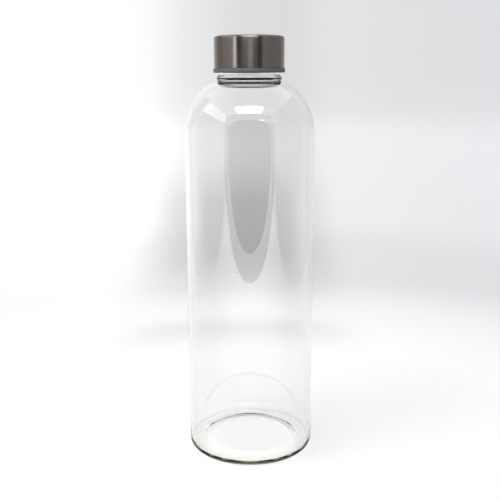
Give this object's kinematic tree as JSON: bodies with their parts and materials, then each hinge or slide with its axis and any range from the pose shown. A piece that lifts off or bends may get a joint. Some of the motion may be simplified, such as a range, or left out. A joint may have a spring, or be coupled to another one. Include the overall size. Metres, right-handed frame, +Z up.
{
  "type": "glass water bottle",
  "caption": "Clear cylindrical glass water bottle with a domed shoulder, a short threaded neck and a brushed steel screw cap over a plastic liner.",
  "frame": {"origin": "centre of the bottle's standing face, on its axis", "axes": "+Z up along the bottle's axis to the cap, X and Y across it"},
  "size_m": [0.084, 0.084, 0.2738],
  "materials": {
    "clear_glass": "clear, polished",
    "cap_steel": "fine brushed",
    "liner_plastic": "satin moulded",
    "seal_silicone": "matte"
  },
  "bodies": {
    "bottle": {"glass_bottle": "clear_glass"},
    "seal": {"seal_ring": "seal_silicone"},
    "cap": {"cap_shell": "cap_steel", "cap_liner": "liner_plastic"}
  },
  "joints": [
    {"name": "cap_turn", "type": "hinge", "parent": "seal", "child": "cap", "pos_m": [0, 0, 0.26], "axis": [0, 0, 1], "range_deg": [0, 1800]},
    {"name": "cap_lift", "type": "slide", "parent": "bottle", "child": "seal", "axis": [0, 0, 1], "range_m": [0, 0.02]}
  ],
  "couplings": [
    {"joint": "cap_lift", "follows": "cap_turn", "m_per_rad": 0.00063662}
  ]
}
